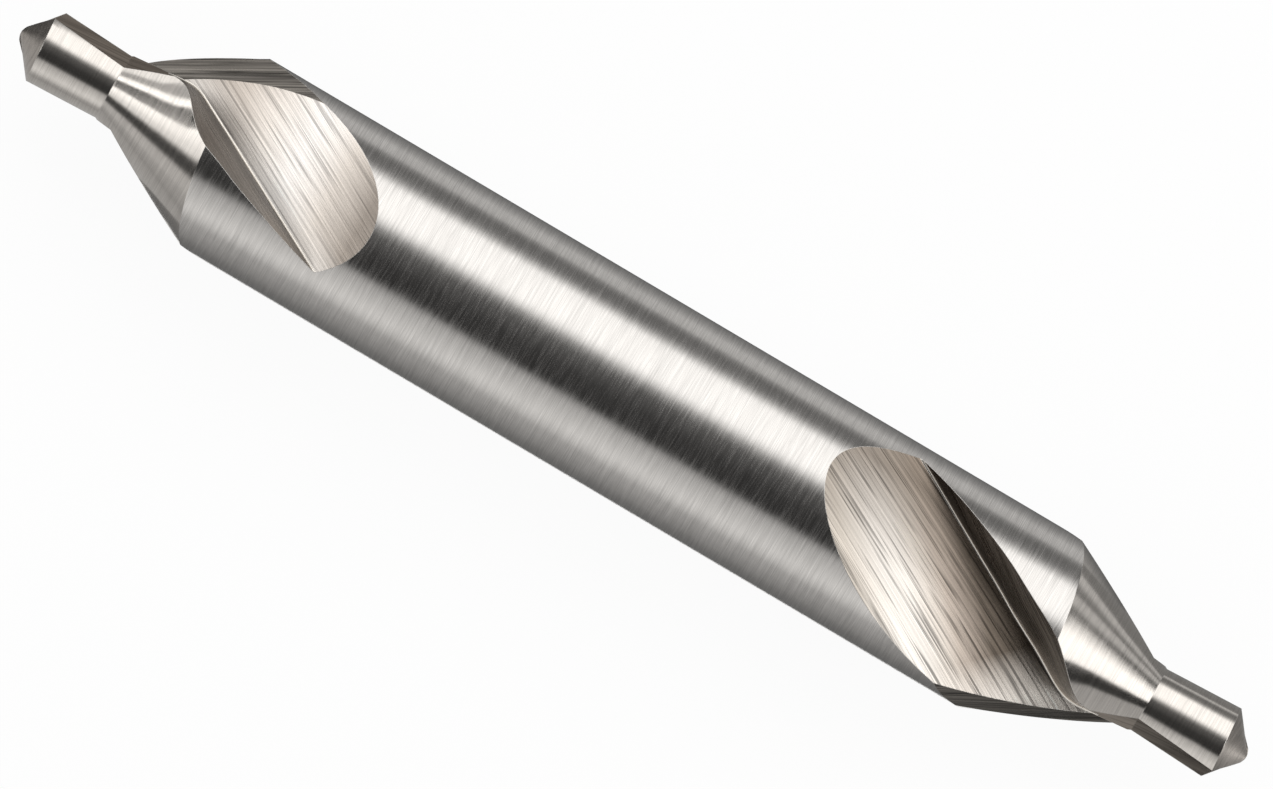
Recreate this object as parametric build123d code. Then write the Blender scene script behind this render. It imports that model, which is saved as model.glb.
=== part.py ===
from build123d import *
import math
import os

# A double-ended centre drill, ground from one bar: a short pilot drill and a 60 degree cone at each end.
# X runs along the drill and the origin is the middle of its axis. Angles about the axis are in degrees,
# measured from +Z towards +Y. An end is made with its point at x = 0 and the body towards +x.

# Whole tool
overall_length = 54.5
body_diameter = 7.9375

# Pilot, cone and point
pilot_diameter = 3.175
left_pilot_reach = 4.12
right_pilot_reach = 4.33
cone_angle = 60.0
point_angle = 118.0
chisel_offset = 0.2

# Relief: how far each ground surface leans towards its own leading edge
pilot_relief = 2.0
left_front_relief = 2.9
left_back_relief = 0.4
right_front_relief = 2.8
right_back_relief = 4.6
point_relief = 4.3
relief_direction = 30.0
point_relief_direction = 45.0
split_angle = 78.0

# Pilot groove: its root and leading edge at the point, at the start of the cone and at its run-out
web_at_point = 0.4
web_at_cone = 0.9
lead_at_point = 50.0
lead_at_cone = 32.0
lead_on_cone = 33.0
root_at_point = 100.0
root_at_cone = 84.0
back_wall_at_point = -11.0
back_wall_at_cone = -19.0
back_wall_on_cone = -9.0
groove_lead_in = 0.3
groove_run_out = 4.1
groove_rise = 26.0
groove_lift = 11.7

# Main flute: its root passes over the axis at flute_crossing, and nearer the point it follows the heel
flute_start = 5.7
flute_crossing = 10.1
flute_overrun = 1.0
crest_margin = 0.05
crest_rounding = 0.09
wheel_radius = 38.0
root_radius = 0.1
rake_start = 6.2
rake_run = 1.6
left_flute_reach = 15.6
right_flute_reach = 19.2
left_flute_angle = 27.2
right_flute_angle = 28.6
left_flute_depth = 1.15
right_flute_depth = 0.7
left_flute_rise = 24.0
right_flute_rise = 14.8
left_rakes = (15.0, 19.0)
right_rakes = (9.0, 40.0)
left_floor_tilts = (0.0, 0.0)
right_floor_tilts = (-8.0, 25.0)
flute_stations = 11
station_spacing = 1.4

# Heel facet beside the main flute: its corner at the pilot, and its depth where the flute starts
heel_corner = 1.4
heel_slope = 5.8
wide_heel_depth = 0.64
wide_heel_rise = 25.8
wide_heel_tilt = -14.5
narrow_heel_depth = 0.55
narrow_heel_rise = 34.5
narrow_heel_tilt = -54.1

body_radius = body_diameter / 2
pilot_radius = pilot_diameter / 2
half_length = overall_length / 2
far = 2 * body_diameter


def tan(angle):
    return math.tan(math.radians(angle))


def polar(x, radius, angle):
    turn = math.radians(angle)
    return Vector(x, radius * math.sin(turn), radius * math.cos(turn))


def relieved_cone(apex, half_angle, lean, direction):
    # The side towards the given direction keeps the full half angle and the far side falls away.
    turn = math.radians(lean)
    normal = Vector(math.cos(turn), 0, 0) + polar(0, math.sin(turn), direction)
    plane = Plane(origin=apex, x_dir=(0, math.cos(turn), 0), z_dir=normal)
    return Solid.make_cone(0, overall_length * tan(half_angle - lean), overall_length, plane)


def relieved_pilot(length):
    turn = math.radians(pilot_relief)
    normal = Vector(math.cos(turn), 0, 0) + polar(0, math.sin(turn), relief_direction)
    plane = Plane(origin=(0, 0, 0), x_dir=(0, math.cos(turn), 0), z_dir=normal)
    return Solid.make_cone(pilot_radius, pilot_radius - length * tan(pilot_relief), length, plane)


def relieved_countersink(reach, lean):
    # The cone grows out of the pilot all round, at its full radius and at its relieved one.
    relieved_radius = pilot_radius - reach * tan(2 * pilot_relief)
    half_angle = cone_angle / 2
    height = (pilot_radius + relieved_radius) / (tan(half_angle) + tan(half_angle - 2 * lean))
    apex = polar(reach - height, pilot_radius - height * tan(half_angle), relief_direction)
    return relieved_cone(apex, half_angle, lean, relief_direction)


def front_half():
    # Everything on the front side of a plane that runs along the axis through both flutes.
    plane = Plane(origin=(0, 0, 0), x_dir=(1, 0, 0), z_dir=polar(0, 1, split_angle - 90))
    return plane * Box(2 * overall_length, 4 * far, far, align=(Align.CENTER, Align.CENTER, Align.MIN))


def land(reach, relief):
    shape = relieved_countersink(reach, relief) + relieved_pilot(reach + pilot_radius)
    flank_apex = polar(-chisel_offset / tan(point_angle / 2), chisel_offset, split_angle + 90)
    flank = relieved_cone(flank_apex, point_angle / 2, point_relief, point_relief_direction)
    return shape & flank & front_half()


def turned(shape):
    return Rot(180, 0, 0) * shape


def wall_point(root, angle):
    # A point far along a wall that leaves the root at an angle measured from +Y towards +Z.
    return root + Vector(0, far * math.cos(math.radians(angle)), far * math.sin(math.radians(angle)))


def rounded_notch(root, floor_angle, wall_angle):
    # Two walls that meet at a root with the round corner that the grinding wheel leaves.
    half = (wall_angle - floor_angle) / 2
    bisector = (wall_point(root, floor_angle + half) - root).normalized()
    reach = root_radius / tan(half)
    floor_end = wall_point(root, floor_angle)
    wall_end = wall_point(root, wall_angle)
    floor_start = root + (floor_end - root).normalized() * reach
    wall_start = root + (wall_end - root).normalized() * reach
    lowest = root + bisector * (root_radius / math.sin(math.radians(half)) - root_radius)
    corner = ThreePointArc(floor_start, lowest, wall_start)
    return Wire([Line(floor_end, floor_start), corner, Line(wall_start, wall_end), Line(wall_end, floor_end)])


def groove_section(root, leading_edge, back_angle):
    front_far = root + (leading_edge - root).normalized() * far
    return Polyline(root, wall_point(root, back_angle), front_far, close=True)


def pilot_groove(reach):
    start = -groove_lead_in
    end = reach + groove_run_out
    point_root = polar(start, web_at_point / 2, root_at_point)
    cone_root = polar(reach, web_at_cone / 2, root_at_cone)
    end_root = cone_root + Vector(1, tan(groove_rise), tan(groove_lift)) * groove_run_out
    end_radius = pilot_radius + groove_run_out * tan(cone_angle / 2)
    sections = [
        groove_section(point_root, polar(start, pilot_radius, lead_at_point), back_wall_at_point),
        groove_section(cone_root, polar(reach, pilot_radius, lead_at_cone), back_wall_at_cone),
        groove_section(end_root, polar(end, end_radius, lead_on_cone), back_wall_on_cone),
    ]
    return Solid.make_loft(sections, ruled=True)


def crest_y(x, reach):
    return heel_corner + (x - reach) * tan(heel_slope)


def root_y(x, reach, angle):
    # The lower of two lines with a rounded corner between them: one along the crest, one along the flute.
    crest = crest_y(x, reach) - crest_margin
    flute = (flute_crossing - x) * tan(angle)
    return (crest + flute) / 2 - math.hypot((crest - flute) / 2, crest_rounding)


def flute_section(x, y, depth, rise, rake, floor_tilt):
    run = x - flute_crossing
    floor = depth + run * tan(rise) + run * run / (2 * wheel_radius)
    root = Vector(x, y, floor + y * tan(floor_tilt))
    return rounded_notch(root, floor_tilt, 90 + rake)


def main_flute(pilot_reach, reach, angle, depth, rise, rakes, tilts):
    # The stations lie closer together near the point, where the root bends and the rake grows.
    sections = []
    length = reach + flute_overrun - flute_start
    for i in range(flute_stations):
        share = (i / (flute_stations - 1)) ** station_spacing
        x = flute_start + length * share
        growth = min(1, max(0, (x - rake_start) / rake_run))
        rake = growth * (rakes[0] + (rakes[1] - rakes[0]) * share)
        tilt = tilts[0] + (tilts[1] - tilts[0]) * share
        sections.append(flute_section(x, root_y(x, pilot_reach, angle), depth, rise, rake, tilt))
    return Solid.make_loft(sections, ruled=False)


def heel_facet(reach, depth, rise, tilt):
    start = Vector(reach, heel_corner, -depth - (flute_start - reach) * tan(rise))
    section = Polyline(start, wall_point(start, tilt), start + Vector(0, 0, far), close=True)
    return Solid.extrude(Face(Wire(section.edges())), Vector(1, tan(heel_slope), tan(rise)) * far)


def drill_end(reach, front_relief, back_relief, flute, front_heel, back_heel):
    from_the_point = (Align.CENTER, Align.CENTER, Align.MIN)
    blank = Cylinder(body_radius, half_length, rotation=(0, 90, 0), align=from_the_point)
    shape = blank & (land(reach, front_relief) + turned(land(reach, back_relief)))
    groove = pilot_groove(reach)
    shape = shape - groove - turned(groove)
    shape = shape - flute - turned(flute)
    return shape - front_heel - turned(back_heel)


def left_end():
    reach = left_pilot_reach
    flute = main_flute(
        reach, left_flute_reach, left_flute_angle, left_flute_depth, left_flute_rise, left_rakes,
        left_floor_tilts,
    )
    wide = heel_facet(reach, wide_heel_depth, wide_heel_rise, wide_heel_tilt)
    narrow = heel_facet(reach, narrow_heel_depth, narrow_heel_rise, narrow_heel_tilt)
    shape = drill_end(reach, left_front_relief, left_back_relief, flute, wide, narrow)
    return Pos(-half_length, 0, 0) * shape


def right_end():
    reach = right_pilot_reach
    flute = main_flute(
        reach, right_flute_reach, right_flute_angle, right_flute_depth, right_flute_rise, right_rakes,
        right_floor_tilts,
    )
    narrow = heel_facet(reach, narrow_heel_depth, narrow_heel_rise, narrow_heel_tilt)
    shape = drill_end(reach, right_front_relief, right_back_relief, flute, narrow, narrow)
    return Pos(half_length, 0, 0) * Rot(0, 0, 180) * shape


os.makedirs("parts", exist_ok=True)
drill = (left_end() + right_end()).clean()
print("solids", len(drill.solids()), "faces", len(drill.faces()), "volume", drill.volume)
export_step(drill, "parts/centre_drill.step")
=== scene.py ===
import bmesh
import bpy
import math
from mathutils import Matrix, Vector


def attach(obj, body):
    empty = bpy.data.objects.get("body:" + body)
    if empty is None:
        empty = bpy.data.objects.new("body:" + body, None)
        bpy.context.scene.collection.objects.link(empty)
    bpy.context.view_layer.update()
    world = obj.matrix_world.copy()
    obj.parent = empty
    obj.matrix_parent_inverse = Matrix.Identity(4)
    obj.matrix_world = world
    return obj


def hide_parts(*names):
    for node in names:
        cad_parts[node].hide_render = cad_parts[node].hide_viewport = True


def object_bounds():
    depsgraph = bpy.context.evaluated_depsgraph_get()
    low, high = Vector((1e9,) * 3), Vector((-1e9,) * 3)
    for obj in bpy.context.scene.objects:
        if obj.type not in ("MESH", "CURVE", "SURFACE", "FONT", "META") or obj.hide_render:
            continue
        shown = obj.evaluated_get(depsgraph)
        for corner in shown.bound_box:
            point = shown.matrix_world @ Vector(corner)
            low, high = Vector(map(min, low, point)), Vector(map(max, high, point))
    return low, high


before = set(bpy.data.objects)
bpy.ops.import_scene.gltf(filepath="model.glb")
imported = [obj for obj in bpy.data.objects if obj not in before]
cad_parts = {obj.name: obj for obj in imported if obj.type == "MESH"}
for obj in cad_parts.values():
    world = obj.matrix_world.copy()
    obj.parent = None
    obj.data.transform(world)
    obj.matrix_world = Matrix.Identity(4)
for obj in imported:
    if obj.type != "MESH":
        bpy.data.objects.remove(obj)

scene = bpy.context.scene
scene.view_settings.view_transform = "Standard"
cadLow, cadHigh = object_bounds()
mm = 0.001

# the drill: where its ground surfaces lie and which way they were ground, in mm and degrees
drill = {
    "bodyRadius": 3.96875,
    "halfLength": 27.25,
    "pointLength": 1.05,
    "fluteCrossing": 10.1,  # from the point to where the root of a flute passes over the axis
    "leftDepth": 1.15,
    "rightDepth": 0.7,
    "leftAngle": 27.2,
    "rightAngle": 28.6,
    "leftRise": 25.0,
    "rightRise": 19.0,
    "heelGrain": 22.0,
    "grooveGrain": 5.0,
    "mergeWithin": 0.0002,
}

# how its surfaces are told apart: areas in mm2, distances along the axis in mm, and how squarely they face one way
sorting = {
    "bodyArea": 300,
    "endArea": 8,
    "endFrom": 19.5,
    "endOutward": 0.5,
    "pointWithin": 0.9,
    "flankArea": 1,
    "floorArea": 25,
    "floorUpright": 0.6,
    "rakeArea": 15,
    "rakeSideways": 0.75,
    "heelArea": 4.5,
    "heelUpTo": 20,
    "heelEndways": 0.3,
    "rootAreas": (1, 2),
    "rootFaces": 300,
}

# the ground finishes
# roughness and uneven: how rough, and how much that changes from line to line; stretch: of the highlight
# lines: how many lie on a mm; run: how often they change along a mm; contrast: how strongly they show
# scratch and scratches: how dark the thin scratches are, and how many lie on a mm
# colourAndPaintedLight: colours at places on the cut, where paintedLightBy weighs its two measures;
# paintedLightOverlays: colours that come in further on; besides the steel's own colour these hold painted shade and
# painted highlights
finishes = {
    "turned": {
        "roughness": 0.21, "uneven": 0.06, "stretch": 0.55,
        "lines": 27.0, "run": 0.5, "contrast": 0.15, "scratch": 0.05, "scratches": 2.5,
        "colourAndPaintedLight": [(0.0, (0.635, 0.612, 0.585))],
    },
    "turnedEnd": {
        "roughness": 0.16, "uneven": 0.015, "stretch": 0.3,
        "lines": 20.0, "run": 0.25, "contrast": 0.1, "scratch": 0.05, "scratches": 2.5,
        "colourAndPaintedLight": [(0.0, (0.66, 0.622, 0.578))],
    },
    # left flute floor: painted reflection, lighter along the middle of its length and darker towards both ends, with a
    # painted highlight that comes in near the root
    "leftFloor": {
        "roughness": 0.26, "uneven": 0.04, "stretch": 0.6,
        "lines": 17.0, "run": 0.09, "contrast": 0.17, "scratch": 0.42, "scratches": 6.0,
        "paintedLightBy": (1, 0),
        "colourAndPaintedLight": [
            (-3.4, (0.41, 0.36, 0.315)), (-1.5, (0.6, 0.535, 0.475)), (0.0, (0.84, 0.775, 0.71)),
            (1.6, (0.95, 0.905, 0.86)), (2.4, (0.89, 0.835, 0.78)), (3.3, (0.72, 0.655, 0.59)),
            (4.9, (0.35, 0.305, 0.265)),
        ],
        "paintedLightOverlays": [{"by": (0.514, 1), "from": 1.3, "to": 0.0, "amount": 0.5, "colour": (1.0, 0.96, 0.91)}],
    },
    # right flute floor: painted shade, dark near the root and lighter further out, a painted highlight that comes in
    # towards the point and away from the root, and more painted shade as the sideways measure falls from 0.8 to -2.6
    # mm
    "rightFloor": {
        "roughness": 0.26, "uneven": 0.04, "stretch": 0.6,
        "lines": 15.0, "run": 0.06, "contrast": 0.19, "scratch": 0.66, "scratches": 4.8,
        "paintedLightBy": (1, 1),
        "colourAndPaintedLight": [
            (0.5, (0.17, 0.14, 0.112)), (1.7, (0.185, 0.152, 0.122)), (2.6, (0.34, 0.285, 0.24)),
            (3.5, (0.53, 0.455, 0.39)), (4.4, (0.71, 0.645, 0.575)), (5.4, (0.82, 0.77, 0.71)),
            (6.4, (0.82, 0.77, 0.71)), (8.1, (0.62, 0.56, 0.49)),
        ],
        "paintedLightOverlays": [
            {"by": (-1, 1), "from": 1.3, "to": 4.0, "amount": 1.0, "colour": (1.0, 0.93, 0.85)},
            {"by": (0, 1), "from": 0.8, "to": -2.6, "amount": 0.85, "colour": (0.21, 0.17, 0.135)},
        ],
    },
    # left rake: painted shade, dark all over, darker towards the end of the drill and nearly black near the root
    "leftRake": {
        "roughness": 0.3, "uneven": 0.06, "stretch": 0.6,
        "lines": 15.0, "run": 0.1, "contrast": 0.16, "scratch": 0.4, "scratches": 4.5,
        "paintedLightBy": (1, 0),
        "colourAndPaintedLight": [
            (-2.0, (0.1, 0.083, 0.07)), (0.0, (0.115, 0.098, 0.083)), (1.2, (0.16, 0.138, 0.118)),
            (2.6, (0.26, 0.228, 0.198)),
        ],
        "paintedLightOverlays": [{"by": (0, 1), "from": 1.1, "to": 0.1, "amount": 0.85, "colour": (0.035, 0.028, 0.023)}],
    },
    # right rake: painted shade, darkest near the root
    "rightRake": {
        "roughness": 0.3, "uneven": 0.06, "stretch": 0.6,
        "lines": 15.0, "run": 0.1, "contrast": 0.16, "scratch": 0.4, "scratches": 4.5,
        "paintedLightBy": (0, 1),
        "colourAndPaintedLight": [(0.0, (0.18, 0.15, 0.125)), (0.4, (0.43, 0.37, 0.315)), (1.3, (0.5, 0.44, 0.38))],
    },
    # the rounded roots of the flutes: a lighter colour than the rest of the steel, a painted highlight along the root
    "root": {
        "roughness": 0.22, "uneven": 0.0, "stretch": 0.4,
        "lines": 6.0, "run": 0.1, "contrast": 0.06, "scratch": 0.0, "scratches": 2.0,
        "colourAndPaintedLight": [(0.0, (0.82, 0.77, 0.7))],
    },
    # the heel facets: a dark grey, painted shade
    "heelFacet": {
        "roughness": 0.3, "uneven": 0.06, "stretch": 0.6,
        "lines": 11.0, "run": 0.1, "contrast": 0.85, "scratch": 0.6, "scratches": 5.5,
        "colourAndPaintedLight": [(0.0, (0.208, 0.191, 0.171))],
    },
    # left groove at the point: a dark colour, painted shade in the groove
    "leftGroove": {
        "roughness": 0.32, "uneven": 0.05, "stretch": 0.5,
        "lines": 9.0, "run": 0.1, "contrast": 0.3, "scratch": 0.3, "scratches": 3.5,
        "colourAndPaintedLight": [(0.0, (0.115, 0.098, 0.083))],
    },
    # right groove at the point: a dark colour, painted shade in the groove, lighter than at the left
    "rightGroove": {
        "roughness": 0.32, "uneven": 0.05, "stretch": 0.5,
        "lines": 9.0, "run": 0.1, "contrast": 0.3, "scratch": 0.3, "scratches": 3.5,
        "colourAndPaintedLight": [(0.0, (0.36, 0.318, 0.276))],
    },
    "pointFlank": {
        "roughness": 0.24, "uneven": 0.03, "stretch": 0.4,
        "lines": 12.0, "run": 0.3, "contrast": 0.12, "scratch": 0.15, "scratches": 3.0,
        "colourAndPaintedLight": [(0.0, (0.52, 0.476, 0.432))],
    },
}
finishOrder = list(finishes)

# the noises behind the lines: how often each changes along and across them, against the finish's own numbers, its
# detail, and where it starts
noises = {
    "fine": {"along": 1.0, "across": 1.0, "detail": 2, "start": 3.1},
    "broad": {"along": 0.6, "across": 0.4, "detail": 2, "start": 11.7},
    "scratch": {"along": 0.5, "across": 1.0, "detail": 2, "start": 27.3},
    "fade": {"along": 1.0, "across": 0.8, "detail": 1, "start": 41.9},
    "patchy": {"along": 2.0, "across": 0.65, "detail": 2, "start": 63.7},
}

# what all the ground finishes share
grinding = {
    "noiseRoughness": 0.6,
    "noiseSlant": 1.7,  # how much further across its start lies than along
    "noiseLow": 0.36,  # the noise seldom leaves this range
    "noiseHigh": 0.64,
    "broadShare": 0.35,
    "scratchCore": 0.014,
    "scratchEdge": 0.055,
    "fadeRun": 0.35,
    "fadeLow": 0.4,
    "fadeHigh": 0.6,
    "fadeLeast": 0.1,
    "highlightTurn": 0.25,
    "bumpStrength": 0.3,
    "bumpDepth": 0.004,
}

# every edge, convex or concave, gets a lighter colour where the rounded normal leaves the true one: a painted
# highlight along the edges, which on the convex cutting edges also stands for a little wear
edgeWearAndHighlight = {
    "radius": 0.038,
    "samples": 4,
    "startsAt": 0.985,
    "fullAt": 0.9,
    "amount": 0.7,
    "colour": (0.84, 0.81, 0.77),
}


def islands(bm):
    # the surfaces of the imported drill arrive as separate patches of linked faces
    left = set(bm.faces)
    found = []
    for first in bm.faces:
        if first not in left:
            continue
        left.remove(first)
        patch, waiting = [], [first]
        while waiting:
            face = waiting.pop()
            patch.append(face)
            for neighbour in (f for e in face.edges for f in e.link_faces):
                if neighbour in left:
                    left.remove(neighbour)
                    waiting.append(neighbour)
        found.append(patch)
    return found


def patchFacts(patch):
    area = sum(f.calc_area() for f in patch)
    centre = sum((f.calc_center_median() * f.calc_area() for f in patch), Vector()) / area / mm
    normal = sum((f.normal * f.calc_area() for f in patch), Vector()) / area
    return area / mm ** 2, centre, normal


def kindOf(patch):
    area, centre, normal = patchFacts(patch)
    side = "left" if centre.x < 0 else "right"
    along = abs(centre.x)
    outward = Vector((0, centre.y, centre.z)).normalized().dot(normal)
    reach = max(abs(v.co.x) / mm for f in patch for v in f.verts)
    end = drill["halfLength"]
    rootLeast, rootMost = sorting["rootAreas"]
    if area > sorting["bodyArea"]:
        return "turned"
    if area > sorting["endArea"] and along > sorting["endFrom"] and outward > sorting["endOutward"]:
        return "turnedEnd"
    if reach > end - sorting["pointWithin"] and along > end - drill["pointLength"]:
        return "pointFlank" if area > sorting["flankArea"] else side + "Groove"
    if area > sorting["floorArea"] and abs(normal.z) > sorting["floorUpright"]:
        return side + "Floor"
    if area > sorting["rakeArea"] and abs(normal.y) > sorting["rakeSideways"]:
        return side + "Rake"
    if area > sorting["heelArea"] and along < sorting["heelUpTo"] and abs(normal.x) > sorting["heelEndways"]:
        return "heelFacet"
    if rootLeast < area < rootMost and len(patch) > sorting["rootFaces"]:
        return "root"
    return side + "Groove"


def layTurnedGrain(patch, grain):
    # the lines run round the axis
    for face in patch:
        middle = face.calc_center_median()
        home = math.atan2(middle.y, middle.z)
        for loop in face.loops:
            co = loop.vert.co
            turn = (math.atan2(co.y, co.z) - home + math.pi) % (2 * math.pi) - math.pi
            loop[grain].uv = ((home + turn) * drill["bodyRadius"], co.x / mm)


def layCutGrain(patch, kind, grain, cut):
    # grain: u runs along the lines and v across them; cut: how far in from where the root of the flute passes over the
    # axis, and how far out from the root; all in mm
    centre, normal = patchFacts(patch)[1:]
    end, inward = ("left", 1) if centre.x < 0 else ("right", -1)
    top = 1 if centre.z > 0 else -1
    away = inward * top
    if kind == "heelFacet" or kind.endswith("Groove"):
        beside = 1 if centre.y > 0 else -1
        lean = drill["heelGrain"] if kind == "heelFacet" else drill["grooveGrain"]
        along = Vector((inward, beside * math.tan(math.radians(lean)), 0))
    else:
        slope = math.tan(math.radians(drill[end + "Angle"]))
        rise = math.tan(math.radians(drill[end + "Rise"]))
        along = Vector((inward, -away * slope, top * rise))
    start = Vector((-inward * (drill["halfLength"] - drill["fluteCrossing"]), 0, top * drill[end + "Depth"]))
    along = (along - normal * along.dot(normal)).normalized()
    across = normal.cross(along).normalized()
    if across.z * top < 0:
        across = -across
    for face in patch:
        for loop in face.loops:
            co = loop.vert.co / mm - start
            loop[grain].uv = (co.dot(along), co.dot(across))
            loop[cut].uv = (co.x * inward, co.dot(across) if kind.endswith("Rake") else co.y * away)


def buildDrill():
    bm = bmesh.new()
    bm.from_mesh(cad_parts["centre_drill"].data)
    grain = bm.loops.layers.uv.new("grain")
    cut = bm.loops.layers.uv.new("cut")
    body = bm.faces.layers.int.new("roundBody")
    counts = dict.fromkeys(finishOrder, 0)
    for patch in islands(bm):
        kind = kindOf(patch)
        counts[kind] += 1
        if kind in ("turned", "turnedEnd", "pointFlank"):
            layTurnedGrain(patch, grain)
        else:
            layCutGrain(patch, kind, grain, cut)
        for face in patch:
            face.material_index = finishOrder.index(kind)
            face.smooth = True
            face[body] = 1 if kind == "turned" else 0
        for edge in {e for f in patch for e in f.edges}:
            if edge.is_boundary:
                edge.smooth = False
    bmesh.ops.remove_doubles(bm, verts=bm.verts, dist=drill["mergeWithin"] * mm)
    mesh = bpy.data.meshes.new("drillSteel")
    bm.to_mesh(mesh)
    bm.free()
    obj = bpy.data.objects.new("drillSteel", mesh)
    scene.collection.objects.link(obj)
    for kind in finishOrder:
        mesh.materials.append(groundSteel(kind))
    roundBodyNormals(mesh)
    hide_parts("centre_drill")
    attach(obj, "root")
    print("drill surfaces:", counts)


def roundBodyNormals(mesh):
    # the plain cylinder gets its true radial normals, so that its reflections run straight
    if "custom_normal" in mesh.attributes:
        mesh.attributes.remove(mesh.attributes["custom_normal"])
    flags = [item.value for item in mesh.attributes["roundBody"].data]
    normals = [loop.vector.copy() for loop in mesh.corner_normals]
    for polygon in mesh.polygons:
        if flags[polygon.index]:
            for i in polygon.loop_indices:
                co = mesh.vertices[mesh.loops[i].vertex_index].co
                normals[i] = Vector((0, co.y, co.z)).normalized()
    mesh.normals_split_custom_set(normals)


def addRange(nodes, links, value, low, high, outLow, outHigh):
    spread = nodes.new("ShaderNodeMapRange")
    spread.inputs["From Min"].default_value = low
    spread.inputs["From Max"].default_value = high
    spread.inputs["To Min"].default_value = outLow
    spread.inputs["To Max"].default_value = outHigh
    links.new(value, spread.inputs["Value"])
    return spread.outputs["Result"]


def addMath(nodes, links, operation, first, second=0):
    step = nodes.new("ShaderNodeMath")
    step.operation = operation
    for socket, value in zip(step.inputs, (first, second)):
        if isinstance(value, (int, float)):
            socket.default_value = value
        else:
            links.new(value, socket)
    return step.outputs["Value"]


def addColourMix(nodes, links, amount, under, over):
    mix = nodes.new("ShaderNodeMix")
    mix.data_type = "RGBA"
    links.new(amount, mix.inputs["Factor"])
    links.new(under, mix.inputs["A"])
    mix.inputs["B"].default_value = (*over, 1)
    return mix.outputs["Result"]


def addLines(nodes, links, uv, name, run, lines):
    # noise drawn out along the grinding direction
    look = noises[name]
    start = look["start"]
    mapping = nodes.new("ShaderNodeMapping")
    mapping.inputs["Scale"].default_value = (run * look["along"], lines * look["across"], 1)
    mapping.inputs["Location"].default_value = (start, start * grinding["noiseSlant"], start)
    links.new(uv, mapping.inputs["Vector"])
    noise = nodes.new("ShaderNodeTexNoise")
    noise.inputs["Scale"].default_value = 1
    noise.inputs["Detail"].default_value = look["detail"]
    noise.inputs["Roughness"].default_value = grinding["noiseRoughness"]
    links.new(mapping.outputs["Vector"], noise.inputs["Vector"])
    return noise.outputs["Fac"]


def addPlace(nodes, links, weights):
    # a place on the cut: its two measures, each with its weight
    cut = nodes.new("ShaderNodeUVMap")
    cut.uv_map = "cut"
    weighed = nodes.new("ShaderNodeVectorMath")
    weighed.operation = "DOT_PRODUCT"
    links.new(cut.outputs["UV"], weighed.inputs[0])
    weighed.inputs[1].default_value = (*weights, 0)
    return weighed.outputs["Value"]


# a colour ramp across the cut with colours laid over it; on the flute floors and rakes, the only finishes that use it,
# it holds painted shade and painted highlights as well as the steel's own colour
def addColourAndPaintedLight(nodes, links, look):
    stops = look["colourAndPaintedLight"]
    first, last = stops[0][0], stops[-1][0]
    ramp = nodes.new("ShaderNodeValToRGB")
    elements = ramp.color_ramp.elements
    while len(elements) < len(stops):
        elements.new(0.5)
    for element, (at, colour) in zip(elements, stops):
        element.position = (at - first) / (last - first)
    for element, (at, colour) in zip(elements, stops):
        element.color = (*colour, 1)
    place = addPlace(nodes, links, look["paintedLightBy"])
    links.new(addRange(nodes, links, place, first, last, 0, 1), ramp.inputs["Fac"])
    colourAndPaintedLight = ramp.outputs["Color"]
    for over in look.get("paintedLightOverlays", []):
        place = addPlace(nodes, links, over["by"])
        amount = addRange(nodes, links, place, over["from"], over["to"], 0, over["amount"])
        colourAndPaintedLight = addColourMix(nodes, links, amount, colourAndPaintedLight, over["colour"])
    return colourAndPaintedLight


def addStrength(nodes, links, uv, look):
    # fine lines all over, and thin scratches where a slower noise crosses its middle value
    low, high = grinding["noiseLow"], grinding["noiseHigh"]
    share, contrast = grinding["broadShare"], look["contrast"]
    fine = addLines(nodes, links, uv, "fine", look["run"], look["lines"])
    broad = addLines(nodes, links, uv, "broad", look["run"], look["lines"])
    fine = addMath(nodes, links, "MULTIPLY", fine, 1 - share)
    broad = addMath(nodes, links, "MULTIPLY", broad, share)
    lines = addMath(nodes, links, "ADD", fine, broad)
    tone = addRange(nodes, links, lines, low, high, 1 - contrast, 1 + contrast)
    scratch = addLines(nodes, links, uv, "scratch", look["run"], look["scratches"])
    middle = addMath(nodes, links, "ABSOLUTE", addMath(nodes, links, "SUBTRACT", scratch, 0.5))
    depth = addRange(nodes, links, middle, grinding["scratchCore"], grinding["scratchEdge"], look["scratch"], 0)
    fade = addLines(nodes, links, uv, "fade", grinding["fadeRun"], look["scratches"])
    fade = addRange(nodes, links, fade, grinding["fadeLow"], grinding["fadeHigh"], grinding["fadeLeast"], 1)
    depth = addMath(nodes, links, "MULTIPLY", depth, fade)
    return addMath(nodes, links, "MULTIPLY", tone, addMath(nodes, links, "SUBTRACT", 1, depth))


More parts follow.
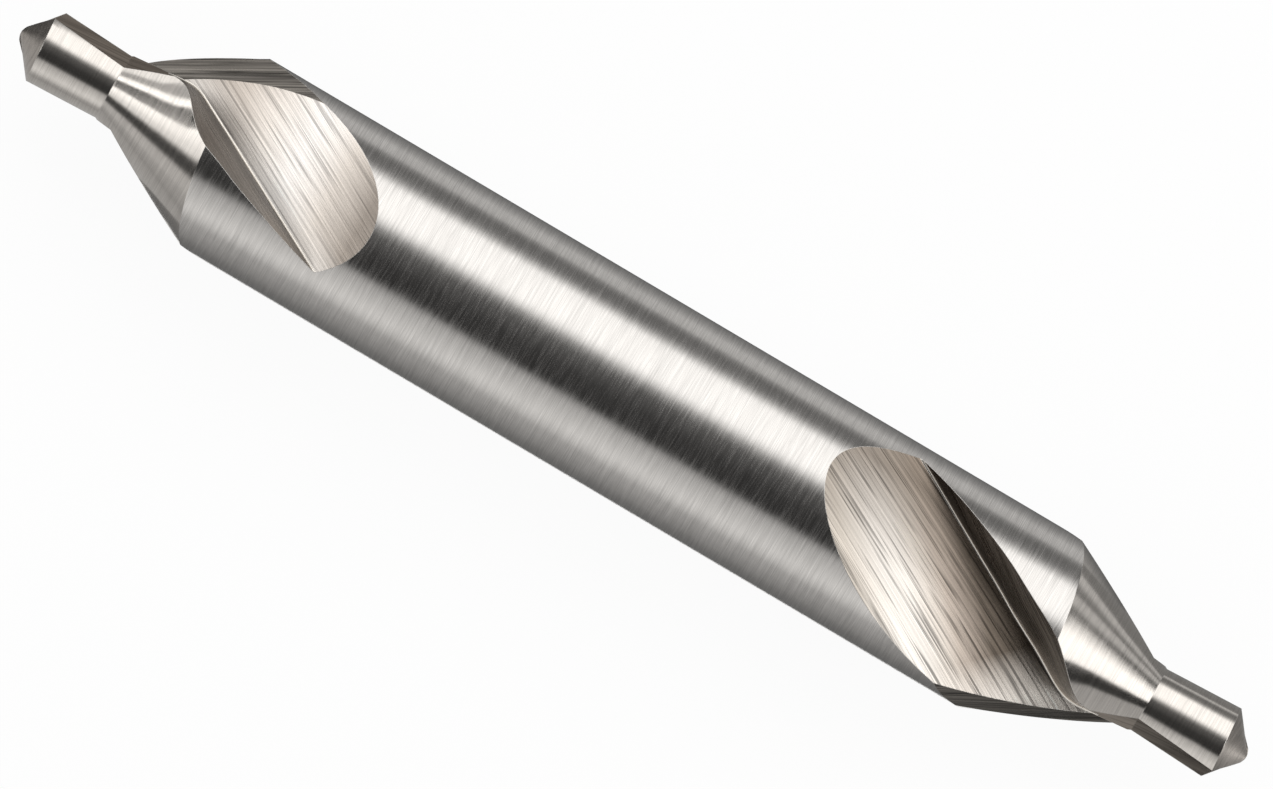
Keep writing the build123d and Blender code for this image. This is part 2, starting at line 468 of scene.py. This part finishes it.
def groundSteel(kind):
    look = finishes[kind]
    material = bpy.data.materials.new(kind)
    material.use_nodes = True
    nodes, links = material.node_tree.nodes, material.node_tree.links
    shader = nodes["Principled BSDF"]
    shader.inputs["Metallic"].default_value = 1
    shader.inputs["Anisotropic"].default_value = look["stretch"]
    shader.inputs["Anisotropic Rotation"].default_value = grinding["highlightTurn"]

    tangent = nodes.new("ShaderNodeTangent")
    tangent.direction_type = "UV_MAP"
    tangent.uv_map = "grain"
    links.new(tangent.outputs["Tangent"], shader.inputs["Tangent"])
    grain = nodes.new("ShaderNodeUVMap")
    grain.uv_map = "grain"
    uv = grain.outputs["UV"]

    strength = addStrength(nodes, links, uv, look)
    steel = nodes.new("ShaderNodeVectorMath")
    steel.operation = "SCALE"
    # the steel's colour, which on the flute floors and rakes carries painted shade and painted highlights that vary
    # over the cut
    if len(look["colourAndPaintedLight"]) > 1:
        links.new(addColourAndPaintedLight(nodes, links, look), steel.inputs[0])
    else:
        steel.inputs[0].default_value = look["colourAndPaintedLight"][0][1]
    links.new(strength, steel.inputs["Scale"])

    rounded = nodes.new("ShaderNodeBevel")
    rounded.samples = edgeWearAndHighlight["samples"]
    rounded.inputs["Radius"].default_value = edgeWearAndHighlight["radius"] * mm
    unrounded = nodes.new("ShaderNodeNewGeometry")
    agree = nodes.new("ShaderNodeVectorMath")
    agree.operation = "DOT_PRODUCT"
    links.new(rounded.outputs["Normal"], agree.inputs[0])
    links.new(unrounded.outputs["Normal"], agree.inputs[1])
    agree = agree.outputs["Value"]
    # the lighter colour along every edge: a painted highlight, partly wear on the convex edges
    wearAndHighlight = addRange(nodes, links, agree, edgeWearAndHighlight["startsAt"], edgeWearAndHighlight["fullAt"], 0, edgeWearAndHighlight["amount"])
    colour = addColourMix(nodes, links, wearAndHighlight, steel.outputs["Vector"], edgeWearAndHighlight["colour"])
    links.new(colour, shader.inputs["Base Color"])

    # some lines are ground rougher than their neighbours, so that reflections end raggedly
    roughness, uneven = look["roughness"], look["uneven"]
    shader.inputs["Roughness"].default_value = roughness
    if uneven > 0:
        patchy = addLines(nodes, links, uv, "patchy", look["run"], look["lines"])
        low, high = grinding["noiseLow"], grinding["noiseHigh"]
        rough = addRange(nodes, links, patchy, low, high, roughness + uneven, roughness - uneven)
        links.new(rough, shader.inputs["Roughness"])

    bump = nodes.new("ShaderNodeBump")
    bump.inputs["Strength"].default_value = grinding["bumpStrength"]
    bump.inputs["Distance"].default_value = grinding["bumpDepth"] * mm
    links.new(strength, bump.inputs["Height"])
    links.new(rounded.outputs["Normal"], bump.inputs["Normal"])
    links.new(bump.outputs["Normal"], shader.inputs["Normal"])
    return material


# floor and backdrop
surround = {
    "floorSize": 1.2,
    "floorColour": (0.9, 0.9, 0.9),
    "floorRoughness": 0.9,
    "floorGlow": 0.93,
    "white": (1, 1, 1),
    "backdrop": 1,
    "fill": 0.6,
}


def pathIs(nodes, links, *rays):
    # 1 for the kinds of ray named, 0 for the rest
    path = nodes.new("ShaderNodeLightPath")
    found = path.outputs[rays[0]]
    for ray in rays[1:]:
        found = addMath(nodes, links, "MAXIMUM", found, path.outputs[ray])
    return found


def buildFloor():
    bm = bmesh.new()
    bmesh.ops.create_grid(bm, x_segments=1, y_segments=1, size=surround["floorSize"] / 2)
    bmesh.ops.translate(bm, verts=bm.verts, vec=(0, 0, cadLow.z))
    mesh = bpy.data.meshes.new("floor")
    bm.to_mesh(mesh)
    bm.free()
    floor = bpy.data.objects.new("floor", mesh)
    scene.collection.objects.link(floor)

    material = bpy.data.materials.new("paleFloor")
    material.use_nodes = True
    nodes, links = material.node_tree.nodes, material.node_tree.links
    matt = nodes["Principled BSDF"]
    matt.inputs["Base Color"].default_value = (*surround["floorColour"], 1)
    matt.inputs["Roughness"].default_value = surround["floorRoughness"]
    glow = nodes.new("ShaderNodeEmission")
    seen = pathIs(nodes, links, "Is Camera Ray", "Is Glossy Ray", "Is Transmission Ray")
    mix = nodes.new("ShaderNodeMixShader")
    links.new(addMath(nodes, links, "MULTIPLY", seen, surround["floorGlow"]), mix.inputs["Fac"])
    links.new(matt.outputs["BSDF"], mix.inputs[1])
    links.new(glow.outputs["Emission"], mix.inputs[2])
    links.new(mix.outputs["Shader"], nodes["Material Output"].inputs["Surface"])
    mesh.materials.append(material)
    print("floor at", round(cadLow.z / mm, 3), "mm")


def buildWorld():
    world = bpy.data.worlds.new("studio")
    scene.world = world
    world.use_nodes = True
    nodes, links = world.node_tree.nodes, world.node_tree.links
    backdrop = nodes["Background"]
    fill = nodes.new("ShaderNodeBackground")
    for shade, level in ((backdrop, surround["backdrop"]), (fill, surround["fill"])):
        shade.inputs["Color"].default_value = (*surround["white"], 1)
        shade.inputs["Strength"].default_value = level
    mix = nodes.new("ShaderNodeMixShader")
    links.new(pathIs(nodes, links, "Is Camera Ray", "Is Glossy Ray", "Is Transmission Ray"), mix.inputs["Fac"])
    links.new(fill.outputs["Background"], mix.inputs[1])
    links.new(backdrop.outputs["Background"], mix.inputs[2])
    links.new(mix.outputs["Shader"], nodes["World Output"].inputs["Surface"])
    print("world fill", surround["fill"])


# softboxes: turn about Z from +X and height above the floor in degrees, distance and size in mm, brightness
softboxes = {
    "back": {"turn": 90, "height": 50, "away": 260, "size": (420, 150), "glow": 1.5},
    "leftEnd": {"turn": 180, "height": 45, "away": 260, "size": (150, 150), "glow": 0.8},
    "rightEnd": {"turn": 0, "height": 45, "away": 260, "size": (150, 150), "glow": 0.8},
}


def buildLamps():
    for name, box in softboxes.items():
        lamp = bpy.data.lights.new(name, "AREA")
        lamp.shape = "RECTANGLE"
        lamp.size = box["size"][0] * mm
        lamp.size_y = box["size"][1] * mm
        lamp.energy = box["glow"] * math.pi * lamp.size * lamp.size_y
        obj = bpy.data.objects.new(name, lamp)
        scene.collection.objects.link(obj)
        turn, height = math.radians(box["turn"]), math.radians(box["height"])
        place = Vector((math.cos(turn) * math.cos(height), math.sin(turn) * math.cos(height), math.sin(height)))
        obj.location = place * box["away"] * mm
        obj.rotation_mode = "QUATERNION"
        obj.rotation_quaternion = place.to_track_quat("Z", "Y")
        obj.visible_glossy = False
    print("lamps:", len(softboxes))


# a tent of white, grey and black card round the drill, which only its polished surfaces see; all in mm
tent = {
    # over and under, from the floor behind to the floor in front: y, z, half its length along X, how bright it is
    "sides": [
        (4, -3.6, 260, 0.1), (7.5, -3.6, 260, 0.3), (12, -3.6, 260, 0.62), (22, -3.6, 260, 0.6), (30, -3.6, 260, 0.3),
        (60, -3.6, 260, 0.18), (170, -3.6, 260, 0.18), (172, 25, 260, 0.22), (172, 42, 260, 0.4), (170, 60, 260, 0.9),
        (166, 76, 260, 1.5), (115, 150, 260, 1.55), (88, 165, 108, 1.5), (66, 167, 108, 1.0), (47, 168, 108, 0.38),
        (23, 168, 108, 0.12), (-40, 168, 108, 0.045), (-100, 162, 108, 0.035), (-114, 154, 108, 0.09),
        (-128, 146, 150, 0.4), (-146, 136, 260, 0.58), (-168, 116, 260, 0.68), (-182, 80, 260, 0.82),
        (-186, 50, 260, 0.9), (-186, 20, 260, 0.78), (-186, -3.6, 260, 0.6), (-60, -3.6, 260, 0.5),
        (-22, -3.6, 260, 0.43), (-12, -3.6, 260, 0.32), (-8, -3.6, 260, 0.21), (-5, -3.6, 260, 0.15),
    ],
    # across the ends: y, how bright the sloping card is there
    "leftEnd": [
        (-190, 0.6), (-130, 0.6), (-114, 0.05), (-76, 0.05), (-60, 1.1), (0, 1.25), (40, 1.2), (52, 0.5), (98, 0.5),
        (108, 1.3), (190, 1.3),
    ],
    "rightEnd": [
        (-190, 0.5), (-56, 0.45), (-46, 0.03), (-9, 0.03), (1, 1.45), (60, 1.5), (80, 1.25), (190, 1.2),
    ],
    "endFoot": 185,
    "endHead": (108, 168),
    # lower cards in front of them, which streak the two cones: y, top, how bright
    "leftLow": [
        (-42, 140, 1.3), (-12, 140, 1.9), (-4, 140, 0.02), (32, 140, 0.02), (40, 140, 2.2), (62, 140, 1.6),
    ],
    "rightLow": [
        (-2, 95, 1.5), (6, 95, 1.75), (46, 92, 1.75), (60, 60, 1.5), (70, 52, 0.08), (106, 48, 0.08), (118, 48, 0.62),
        (210, 48, 0.62),
    ],
    "lowFrom": 148,
    "cardFoot": -3.6,
    # on the floor beyond the points: y, how bright
    "leftPoint": [(-14, 0.42), (-1.5, 0.5), (0.6, 0.1), (14, 0.1)],
    "rightPoint": [(-14, 0.13), (-3, 0.18), (0, 0.85), (2, 0.25), (14, 0.22)],
    "pointFrom": 22,
    "pointTo": 70,
    "pointHeight": -3.5,
}


def buildCard(name, ribs, paper):
    # a strip of card from rib to rib; a rib is its two ends and its brightness
    bm = bmesh.new()
    bmesh.ops.create_grid(bm, x_segments=len(ribs) - 1, y_segments=1, size=1)
    glow = bm.verts.layers.float.new("glow")
    for v in bm.verts:
        first, last, level = ribs[round((v.co.x + 1) / 2 * (len(ribs) - 1))]
        v.co = Vector(first if v.co.y < 0 else last) * mm
        v[glow] = level
    mesh = bpy.data.meshes.new(name)
    bm.to_mesh(mesh)
    bm.free()
    mesh.materials.append(paper)
    card = bpy.data.objects.new(name, mesh)
    scene.collection.objects.link(card)
    card.visible_camera = False
    card.visible_diffuse = False
    card.visible_shadow = False
    card.visible_transmission = False


def buildTent():
    paper = bpy.data.materials.new("tentCard")
    paper.use_nodes = True
    nodes, links = paper.node_tree.nodes, paper.node_tree.links
    level = nodes.new("ShaderNodeAttribute")
    level.attribute_name = "glow"
    glow = nodes.new("ShaderNodeEmission")
    links.new(level.outputs["Fac"], glow.inputs["Strength"])
    links.new(glow.outputs["Emission"], nodes["Material Output"].inputs["Surface"])

    end, (head, top) = tent["endFoot"], tent["endHead"]
    low, foot = tent["lowFrom"], tent["cardFoot"]
    near, far, height = tent["pointFrom"], tent["pointTo"], tent["pointHeight"]
    cards = {
        "tentSides": [((-half, y, z), (half, y, z), level) for y, z, half, level in tent["sides"]],
        "tentLeft": [((-end, y, foot), (-head, y, top), level) for y, level in tent["leftEnd"]],
        "leftLow": [((-low, y, foot), (-low, y, z), level) for y, z, level in tent["leftLow"]],
        "rightLow": [((low, y, foot), (low, y, z), level) for y, z, level in tent["rightLow"]],
        "tentRight": [((end, y, foot), (head, y, top), level) for y, level in tent["rightEnd"]],
        "leftPointCard": [((-far, y, height), (-near, y, height), level) for y, level in tent["leftPoint"]],
        "rightPointCard": [((near, y, height), (far, y, height), level) for y, level in tent["rightPoint"]],
    }
    for name, ribs in cards.items():
        buildCard(name, ribs, paper)
    print("tent cards:", len(cards))


# camera: straight above, turned as the photograph is; lengths in mm, shifts in pixels
view = {
    "height": 1000.0,
    "turn": 30.61,
    "pixelsPerMm": 26.13,
    "frameWidth": 1273,
    "shiftRight": 2.8,
    "shiftUp": 0.1,
    "sensorWidth": 36,
    "nearest": 10,
    "farthest": 10000,
}


def buildCamera():
    camera = bpy.data.cameras.new("camera")
    obj = bpy.data.objects.new("camera", camera)
    scene.collection.objects.link(obj)
    turn = math.radians(view["turn"])
    right = Vector((math.cos(turn), math.sin(turn), 0))
    up = Vector((-math.sin(turn), math.cos(turn), 0))
    shift = (right * view["shiftRight"] + up * view["shiftUp"]) / view["pixelsPerMm"]
    obj.location = (shift + Vector((0, 0, view["height"]))) * mm
    obj.rotation_euler = (0, 0, turn)
    camera.sensor_width = view["sensorWidth"]
    camera.lens = view["sensorWidth"] * view["height"] * view["pixelsPerMm"] / view["frameWidth"]
    camera.clip_start = view["nearest"] * mm
    camera.clip_end = view["farthest"] * mm
    scene.camera = obj
    print("camera lens", round(camera.lens, 1))


buildDrill()
buildFloor()
buildWorld()
buildLamps()
buildTent()
buildCamera()
